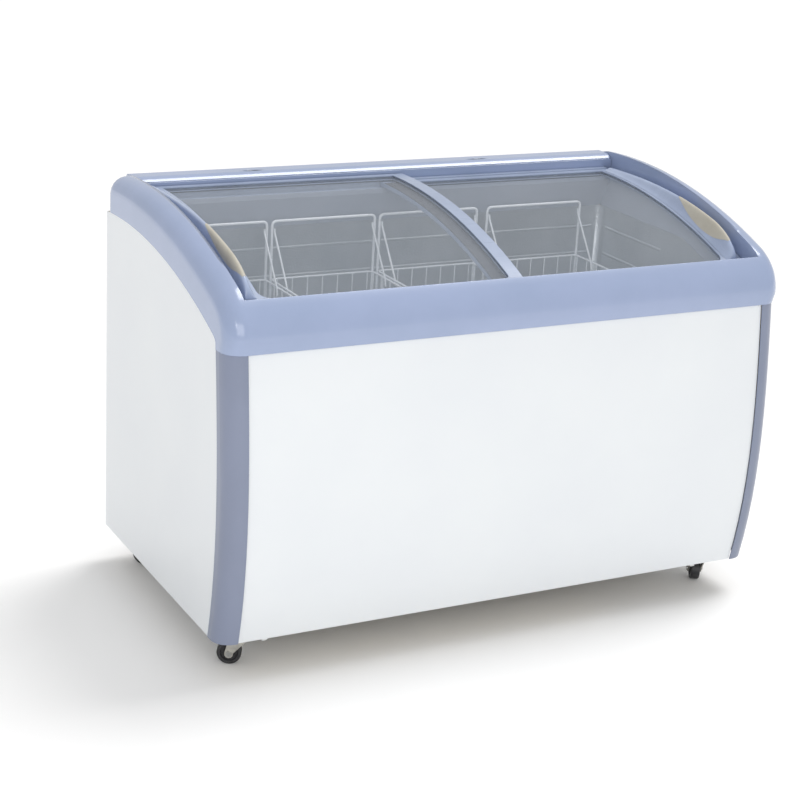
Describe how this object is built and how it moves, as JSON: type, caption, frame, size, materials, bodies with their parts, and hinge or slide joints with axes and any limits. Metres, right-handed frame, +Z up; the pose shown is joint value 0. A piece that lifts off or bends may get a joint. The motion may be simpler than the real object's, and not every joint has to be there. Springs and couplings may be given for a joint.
{
  "type": "chest freezer",
  "caption": "Display chest freezer with a bowed white cabinet, blue-grey moulded rim, two curved sliding glass lids, wire baskets and casters.",
  "frame": {"origin": "on the floor under the middle of the freezer", "axes": "+Z up, -Y is the front where the customer stands, +X is the customer's right"},
  "size_m": [1.28, 0.7005, 0.882],
  "materials": {
    "white_enamel": "smooth gloss enamel on sheet steel",
    "blue_grey_abs": "glossy moulded ABS, periwinkle blue-grey",
    "light_grey_plastic": "satin extruded plastic",
    "dark_plastic": "moulded, fine matt texture",
    "polyurethane_foam": "rigid foamed-in-place polyurethane",
    "embossed_aluminium": "stucco embossed sheet",
    "grey_throat_plastic": "smooth satin grey",
    "clear_glass": "clear tempered glass",
    "beige_soft_grip": "soft-touch over-moulded grip",
    "white_coated_wire": "plastic-coated steel wire",
    "zinc_plate": "bright zinc plated sheet steel",
    "steel": "machined steel",
    "black_nylon": "moulded black nylon",
    "black_paint": "black enamel",
    "copper": "drawn copper tube",
    "grey_rubber": "moulded rubber"
  },
  "bodies": {
    "cabinet": {"base_pan": "zinc_plate", "cable_gland": "dark_plastic", "caster_plate_front_left": "zinc_plate", "caster_plate_front_right": "zinc_plate", "caster_plate_rear_left": "zinc_plate", "caster_plate_rear_right": "zinc_plate", "caster_rail_left": "white_enamel", "caster_rail_right": "white_enamel", "compressor": "black_paint", "compressor_mount": "zinc_plate", "condenser_coil": "black_paint", "corner_trim_left": "blue_grey_abs", "corner_trim_right": "blue_grey_abs", "evaporator_coil": "copper", "fan_motor": "black_paint", "fan_shroud": "dark_plastic", "filter_drier": "copper", "foam_insulation": "polyurethane_foam", "front_panel": "white_enamel", "front_track": "light_grey_plastic", "inner_liner": "embossed_aluminium", "rear_panel": "white_enamel", "rear_rim": "blue_grey_abs", "rear_track": "light_grey_plastic", "rim_slot_left": "dark_plastic", "rim_slot_right": "dark_plastic", "side_panel_left": "white_enamel", "side_panel_right": "white_enamel", "terminal_box": "dark_plastic", "thermostat_housing": "dark_plastic", "throat_collar": "grey_throat_plastic", "top_frame": "blue_grey_abs"},
    "left_lid": {"lid_frame_left": "light_grey_plastic", "lid_glass_left": "clear_glass", "lid_handle_left": "blue_grey_abs", "lid_grip_left": "beige_soft_grip"},
    "right_lid": {"lid_frame_right": "light_grey_plastic", "lid_glass_right": "clear_glass", "lid_handle_right": "blue_grey_abs", "lid_grip_right": "beige_soft_grip"},
    "basket_1_body": {"basket_1": "white_coated_wire"},
    "basket_2_body": {"basket_2": "white_coated_wire"},
    "basket_3_body": {"basket_3": "white_coated_wire"},
    "basket_4_body": {"basket_4": "white_coated_wire"},
    "swivel_front_left": {"caster_fork_front_left": "zinc_plate", "caster_axle_front_left": "steel"},
    "wheel_front_left": {"caster_wheel_front_left": "black_nylon"},
    "swivel_front_right": {"caster_fork_front_right": "zinc_plate", "caster_axle_front_right": "steel"},
    "wheel_front_right": {"caster_wheel_front_right": "black_nylon"},
    "swivel_rear_left": {"caster_fork_rear_left": "zinc_plate", "caster_axle_rear_left": "steel"},
    "wheel_rear_left": {"caster_wheel_rear_left": "black_nylon"},
    "swivel_rear_right": {"caster_fork_rear_right": "zinc_plate", "caster_axle_rear_right": "steel"},
    "wheel_rear_right": {"caster_wheel_rear_right": "black_nylon"},
    "knob": {"thermostat_knob": "light_grey_plastic"},
    "fan": {"fan_blade": "dark_plastic"},
    "stopper": {"drain_stopper": "grey_rubber"}
  },
  "joints": [
    {"name": "left_lid_slide", "type": "slide", "parent": "cabinet", "child": "left_lid", "axis": [1, 0, 0], "range_m": [0, 0.5]},
    {"name": "right_lid_slide", "type": "slide", "parent": "cabinet", "child": "right_lid", "axis": [1, 0, 0], "range_m": [-0.5, 0]},
    {"name": "basket_1_lift", "type": "slide", "parent": "cabinet", "child": "basket_1_body", "axis": [0, 0, 1], "range_m": [0, 0.03]},
    {"name": "basket_2_lift", "type": "slide", "parent": "cabinet", "child": "basket_2_body", "axis": [0, 0, 1], "range_m": [0, 0.03]},
    {"name": "basket_3_lift", "type": "slide", "parent": "cabinet", "child": "basket_3_body", "axis": [0, 0, 1], "range_m": [0, 0.03]},
    {"name": "basket_4_lift", "type": "slide", "parent": "cabinet", "child": "basket_4_body", "axis": [0, 0, 1], "range_m": [0, 0.03]},
    {"name": "swivel_turn_front_left", "type": "hinge", "parent": "cabinet", "child": "swivel_front_left", "pos_m": [-0.56, -0.25, 0.06], "axis": [0, 0, 1], "continuous": true},
    {"name": "wheel_roll_front_left", "type": "hinge", "parent": "swivel_front_left", "child": "wheel_front_left", "pos_m": [-0.57942, -0.23967, 0.025], "axis": [-0.4695, -0.8829, 0], "continuous": true},
    {"name": "swivel_turn_front_right", "type": "hinge", "parent": "cabinet", "child": "swivel_front_right", "pos_m": [0.56, -0.25, 0.06], "axis": [0, 0, 1], "continuous": true},
    {"name": "wheel_roll_front_right", "type": "hinge", "parent": "swivel_front_right", "child": "wheel_front_right", "pos_m": [0.57033, -0.23058, 0.025], "axis": [-0.8829, 0.4695, 0], "continuous": true},
    {"name": "swivel_turn_rear_left", "type": "hinge", "parent": "cabinet", "child": "swivel_rear_left", "pos_m": [-0.56, 0.265, 0.06], "axis": [0, 0, 1], "continuous": true},
    {"name": "wheel_roll_rear_left", "type": "hinge", "parent": "swivel_rear_left", "child": "wheel_rear_left", "pos_m": [-0.57033, 0.28442, 0.025], "axis": [-0.8829, -0.4695, 0], "continuous": true},
    {"name": "swivel_turn_rear_right", "type": "hinge", "parent": "cabinet", "child": "swivel_rear_right", "pos_m": [0.56, 0.265, 0.06], "axis": [0, 0, 1], "continuous": true},
    {"name": "wheel_roll_rear_right", "type": "hinge", "parent": "swivel_rear_right", "child": "wheel_rear_right", "pos_m": [0.57033, 0.28442, 0.025], "axis": [-0.8829, 0.4695, 0], "continuous": true},
    {"name": "thermostat_turn", "type": "hinge", "parent": "cabinet", "child": "knob", "pos_m": [0.3249, 0.345, 0.2484], "axis": [0, 1, 0], "range_deg": [0, 270]},
    {"name": "fan_spin", "type": "hinge", "parent": "cabinet", "child": "fan", "pos_m": [0.4239, -0.21, 0.183], "axis": [0, 1, 0], "continuous": true},
    {"name": "drain_stopper_pull", "type": "slide", "parent": "cabinet", "child": "stopper", "axis": [0, 0, 1], "range_m": [0, 0.015]}
  ]
}
